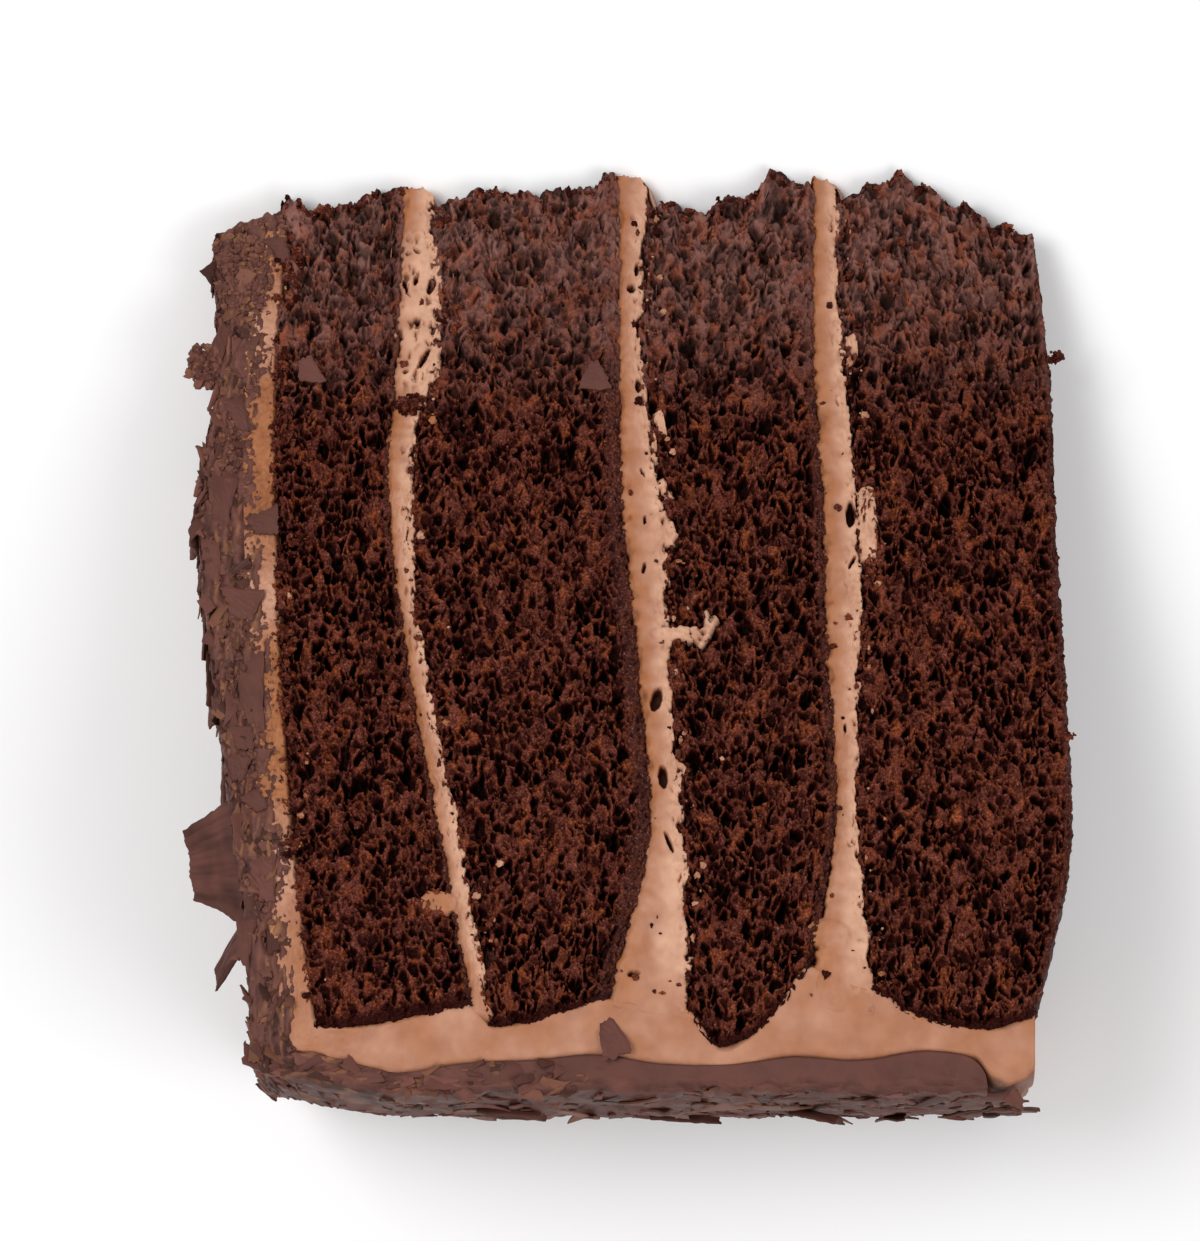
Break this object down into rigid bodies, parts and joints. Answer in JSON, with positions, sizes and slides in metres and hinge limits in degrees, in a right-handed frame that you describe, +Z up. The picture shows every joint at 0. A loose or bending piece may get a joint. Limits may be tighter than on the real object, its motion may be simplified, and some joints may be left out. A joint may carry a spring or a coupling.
{
  "type": "slice of chocolate layer cake",
  "caption": "Wedge of tall dark chocolate sponge cake with mocha cream fillings, a cream and chocolate coat and shaved chocolate, lying on its cut side.",
  "frame": {"origin": "under the middle of the slice's box, on the surface that the lower cut face rests on", "axes": "+Z up, square to the lower cut face; +Y along the slice towards its thin tip, so the frosted outer side faces -Y; +X from the frosted top of the cake to its bare underside"},
  "size_m": [0.1184, 0.126, 0.0524],
  "materials": {
    "sponge": "dark chocolate sponge crumb, open and moist, with near-black pores",
    "cream": "soft mocha buttercream, satin, with small air holes",
    "chocolate_coating": "set chocolate coating, satin, rough with shavings",
    "shaved_chocolate": "thin shaved dark chocolate, smooth with dull broken edges"
  },
  "bodies": {
    "root": {"sponge_1": "sponge", "sponge_2": "sponge", "sponge_3": "sponge", "sponge_4": "sponge", "filling_1": "cream", "filling_2": "cream", "filling_3": "cream", "cream_coat": "cream", "chocolate_coat": "chocolate_coating", "chocolate_shard_1": "shaved_chocolate", "chocolate_shard_2": "shaved_chocolate", "chocolate_shard_3": "shaved_chocolate", "chocolate_shard_4": "shaved_chocolate", "chocolate_shard_5": "shaved_chocolate", "chocolate_shard_6": "shaved_chocolate", "chocolate_shard_7": "shaved_chocolate", "chocolate_shard_8": "shaved_chocolate", "chocolate_shard_9": "shaved_chocolate"}
  },
  "joints": []
}
